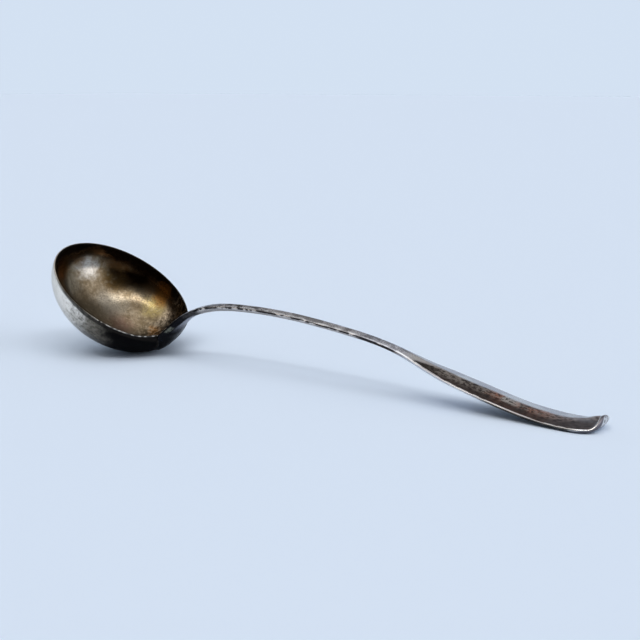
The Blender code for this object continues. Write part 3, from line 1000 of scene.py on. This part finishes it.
        # Painted shade: black under the broad end where it rests, to deepen the shade on the floor
        # beneath it.
        return self.paint(colour, BLACK, self.between(self.run, 235, 255, 300, 306),
                          self.step(self.side, -0.75, -0.95), 0.9)

    def root(self, colour):
        """Root: black beside the rim with a few worn spots; black on the flank below, with a painted
        lilac reflection.
        """
        root = self.span(self.sway(self.run, self.patch, 10.0 * MM), 48, 30)
        black = self.paint(ROOT_BLACK, ROOT_WORN, self.step(self.blot, 0.57, 0.62), 0.7)
        colour = self.paint(colour, black, root, self.top, 0.97)
        # Painted reflection: lilac grey on the middle of the flank below the root.
        bright = self.times(self.span(self.sway(self.run, self.patch, 6.0 * MM), 20, 43),
                            self.step(self.math("ABSOLUTE", self.across), 0.95, 0.60))
        flank = self.mix(bright, FLANK_BLACK, FLANK_LILAC_REFLECTION)
        colour = self.paint(colour, flank, root, self.step(self.side, 0.8, 0.3))
        # A dull chip low on the edge of the near shoulder.
        return self.paint(colour, CHIP, self.between(self.run, 19.5, 21.0, 24.5, 26.0),
                          self.step(self.side, 0.05, -0.2), self.step(self.across, -0.80, -0.92),
                          self.step(self.pepper, 0.40, 0.48))

    def build(self):
        """The whole material."""
        colour = self.blots(self.broad_end(self.plain()))
        colour = self.root(self.underside(self.edges(colour)))
        stem_fine = self.times(self.fine, self.stem)
        rough = self.blend(self.math("MAXIMUM", self.film, self.back), 0.22, 0.33)
        rough = self.math("MULTIPLY_ADD", stem_fine, 0.10, rough)
        scratches = self.step(self.noise(0.9, 3.0, 0.6, (0.10, 1.0, 1.0)), 0.60, 0.67)
        normal = self.bump(self.patch, 0.10, 0.2)
        normal = self.bump(stem_fine, 0.03, 0.12, normal)
        normal = self.bump(self.times(scratches, self.stem), 0.02, 0.4, normal)
        return self.finish(colour, rough, normal, 0.6)


def solder_material():
    """Dull grey solder with pits."""
    g = Metal("worn_solder")
    patch = g.noise(2.0, 4.0, 0.6, warp=0.5)
    fine = g.noise(0.6, 3.0, 0.7)
    colour = g.mix(g.step(patch, 0.36, 0.48), SOLDER_GREY, BLACK)
    return g.finish(colour, g.step(fine, 0.3, 0.7, 0.38, 0.6), g.bump(fine, 0.08, 0.5))


# ---------------------------------------------------------------- setting

FLOOR_HALF = 14.0
FLOOR_COLOUR = (0.705, 0.805, 0.95, 1.0)

ROOM_DARK = (0.38, 0.375, 0.37)
CEILING = (1.5, 1.49, 1.47)
SWEEP = (0.655, 0.755, 0.89)

# Soft-edged patches of the room: azimuth, elevation, width, height, softness (degrees), colour.
PANELS = (
    # Dark side of the room behind the camera, and a pale wall high on its left.
    (-68.0, 12.0, 104.0, 60.0, 14.0, (0.05, 0.045, 0.04)),
    (-120.0, 58.0, 70.0, 32.0, 12.0, (1.5, 1.47, 1.43)),
    # Window at the handle's end, brighter low down.
    (18.0, 30.0, 44.0, 60.0, 12.0, (1.45, 1.47, 1.52)),
    (12.0, 5.0, 26.0, 22.0, 8.0, (2.7, 2.72, 2.8)),
    # Band and strip of light high on the camera's side.
    (-28.0, 53.0, 76.0, 12.0, 5.0, (3.0, 2.98, 2.92)),
    (-50.0, 58.0, 112.0, 4.0, 2.5, (8.2, 8.1, 7.9)),
)

LENS = 66.76
SENSOR = 36.0
CAMERA_AZIMUTH = -54.74
CAMERA_ELEVATION = 11.316
CAMERA_DISTANCE = 0.73817
CAMERA_TARGET = Vector((BOWL_CENTRE_X + 0.128425, 0.04214, 0.02628))


def add_floor():
    """Pale floor."""
    a = FLOOR_HALF
    mesh = bpy.data.meshes.new("floor")
    mesh.from_pydata([(-a, -a, 0.0), (a, -a, 0.0), (a, a, 0.0), (-a, a, 0.0)], [], [(0, 1, 2, 3)])
    material = bpy.data.materials.new("floor_paper")
    material.use_nodes = True
    shader = material.node_tree.nodes["Principled BSDF"]
    shader.inputs["Base Color"].default_value = FLOOR_COLOUR
    shader.inputs["Roughness"].default_value = 0.9
    shader.inputs["Specular IOR Level"].default_value = 0.1
    mesh.materials.append(material)
    floor = bpy.data.objects.new("floor", mesh)
    bpy.context.scene.collection.objects.link(floor)


def add_world():
    """Room: pale sweep low down, soft lights above, dark on the camera's side."""
    world = bpy.data.worlds.new("room")
    world.use_nodes = True
    bpy.context.scene.world = world
    room = Nodes(world.node_tree, "Generated")
    elevation = room.math("DEGREES", room.math("ARCSINE", room.axes()[2]))
    colour = room.paint(ROOM_DARK, CEILING, room.step(elevation, 60.0, 80.0))
    colour = room.paint(colour, SWEEP, room.step(elevation, 32.0, 18.0))
    for azimuth, rise, width, height, soft, light in PANELS:
        turn = math.radians(azimuth)
        ahead = room.vector_math("DOT_PRODUCT", (math.cos(turn), math.sin(turn), 0.0))
        aside = room.vector_math("DOT_PRODUCT", (-math.sin(turn), math.cos(turn), 0.0))
        off = room.math("ABSOLUTE", room.math("DEGREES", room.math("ARCTAN2", aside, ahead)))
        above = room.math("ABSOLUTE", room.math("SUBTRACT", elevation, rise))
        colour = room.paint(colour, light,
                            room.step(off, 0.5 * width + soft, 0.5 * width - soft),
                            room.step(above, 0.5 * height + soft, 0.5 * height - soft))
    # The sweep again at the horizon, so that floor and room meet without a line.
    colour = room.paint(colour, SWEEP, room.step(elevation, 2.4, 1.0))
    back = room.tree.nodes["Background"]
    room.put(back.inputs["Color"], colour)
    back.inputs["Strength"].default_value = 1.0


def add_camera():
    """Camera low on the near side, looking past the middle of the handle."""
    data = bpy.data.cameras.new("camera")
    data.sensor_width = SENSOR
    data.lens = LENS
    data.clip_start = 0.01
    data.clip_end = 100.0
    camera = bpy.data.objects.new("camera", data)
    bpy.context.scene.collection.objects.link(camera)
    a = math.radians(CAMERA_AZIMUTH)
    e = math.radians(CAMERA_ELEVATION)
    away = Vector((math.cos(a) * math.cos(e), math.sin(a) * math.cos(e), math.sin(e)))
    camera.location = CAMERA_TARGET + away * CAMERA_DISTANCE
    camera.rotation_euler = (CAMERA_TARGET - camera.location).to_track_quat("-Z", "Y").to_euler()
    bpy.context.scene.camera = camera


add_camera()
build_bowl(BowlSilver().build())
build_handle(HandleSilver().build())
build_seam(solder_material())
add_floor()
add_world()
bpy.context.scene.view_settings.view_transform = "Standard"
